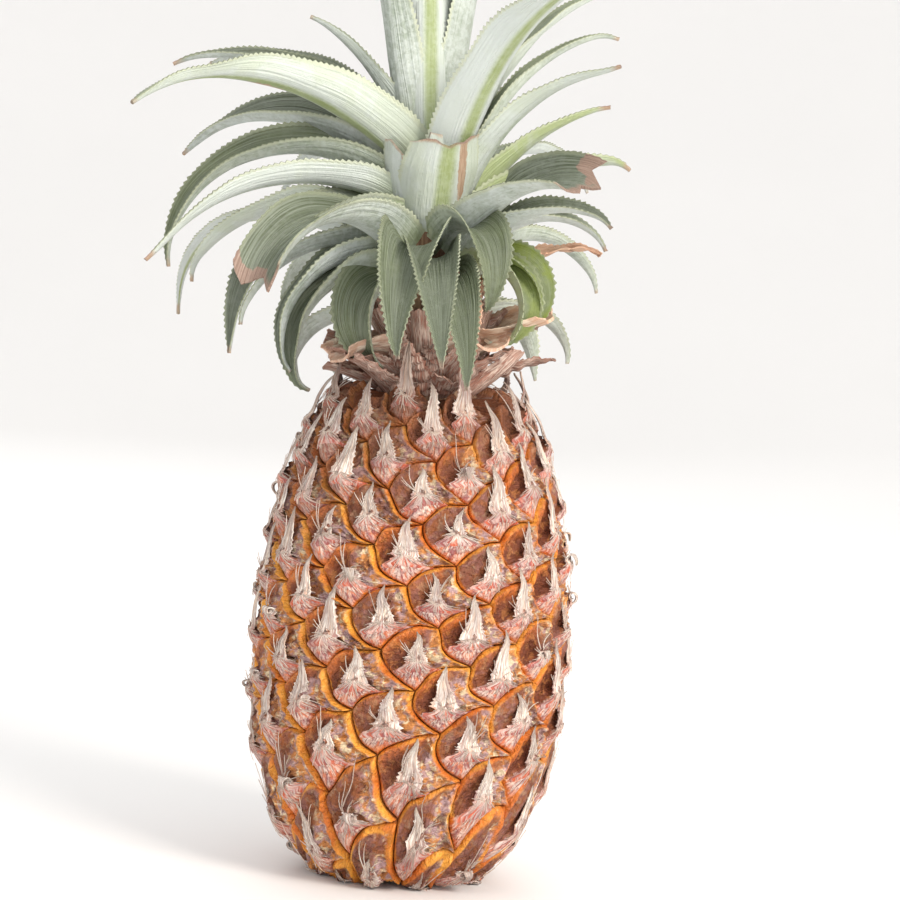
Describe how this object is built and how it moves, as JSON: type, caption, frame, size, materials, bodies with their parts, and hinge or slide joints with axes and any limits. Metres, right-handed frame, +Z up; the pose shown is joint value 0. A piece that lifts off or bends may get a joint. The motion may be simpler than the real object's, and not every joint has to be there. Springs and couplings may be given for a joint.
{
  "type": "pineapple",
  "caption": "Whole ripe pineapple standing on its base: a barrel of spiny-bracted eyes in spirals, under a crown of arching saw-edged leaves.",
  "frame": {"origin": "middle of the cut stalk's flat face, on the surface that the fruit stands on", "axes": "+Z up along the fruit's axis towards the crown; -Y towards the viewer of the front; +X to that viewer's right"},
  "size_m": [0.1675, 0.2118, 0.4014],
  "materials": {
    "skin": "rough waxy rind",
    "stalk": "dry cut plant fibre",
    "stem": "dry scaly stem",
    "leaf": "satin with a silvery bloom",
    "dry_leaf": "dry and papery"
  },
  "bodies": {
    "root": {"fruit": "skin", "cut_stalk": "stalk", "crown_stem": "stem", "neck_leaf_1": "dry_leaf", "neck_leaf_2": "dry_leaf", "neck_leaf_3": "dry_leaf", "neck_leaf_4": "dry_leaf", "crown_leaf_01": "leaf", "crown_leaf_02": "leaf", "crown_leaf_03": "leaf", "crown_leaf_04": "leaf", "crown_leaf_05": "leaf", "crown_leaf_06": "dry_leaf", "crown_leaf_07": "leaf", "crown_leaf_08": "leaf", "crown_leaf_09": "leaf", "crown_leaf_10": "leaf", "crown_leaf_11": "leaf", "crown_leaf_12": "dry_leaf", "crown_leaf_13": "leaf", "crown_leaf_14": "leaf", "crown_leaf_15": "leaf", "crown_leaf_16": "leaf", "crown_leaf_17": "leaf", "crown_leaf_18": "leaf", "crown_leaf_19": "leaf", "crown_leaf_20": "leaf", "crown_leaf_21": "leaf", "crown_leaf_22": "leaf", "crown_leaf_23": "leaf", "crown_leaf_24": "leaf", "crown_leaf_25": "leaf", "crown_leaf_26": "leaf", "crown_leaf_27": "leaf", "crown_leaf_28": "leaf", "crown_leaf_29": "leaf", "crown_leaf_30": "leaf", "crown_leaf_31": "leaf", "crown_leaf_32": "leaf", "crown_leaf_33": "leaf", "crown_leaf_34": "leaf", "crown_leaf_35": "leaf", "crown_leaf_36": "leaf", "crown_leaf_37": "leaf", "crown_leaf_38": "leaf", "crown_leaf_39": "leaf", "crown_leaf_40": "leaf", "crown_leaf_41": "leaf", "crown_leaf_42": "leaf", "crown_leaf_43": "leaf", "crown_leaf_44": "leaf", "crown_leaf_45": "leaf", "crown_leaf_46": "leaf", "crown_leaf_47": "leaf", "crown_leaf_48": "leaf", "crown_leaf_49": "leaf", "crown_leaf_50": "leaf", "crown_leaf_51": "leaf", "crown_leaf_52": "leaf", "crown_leaf_53": "leaf"}
  },
  "joints": []
}
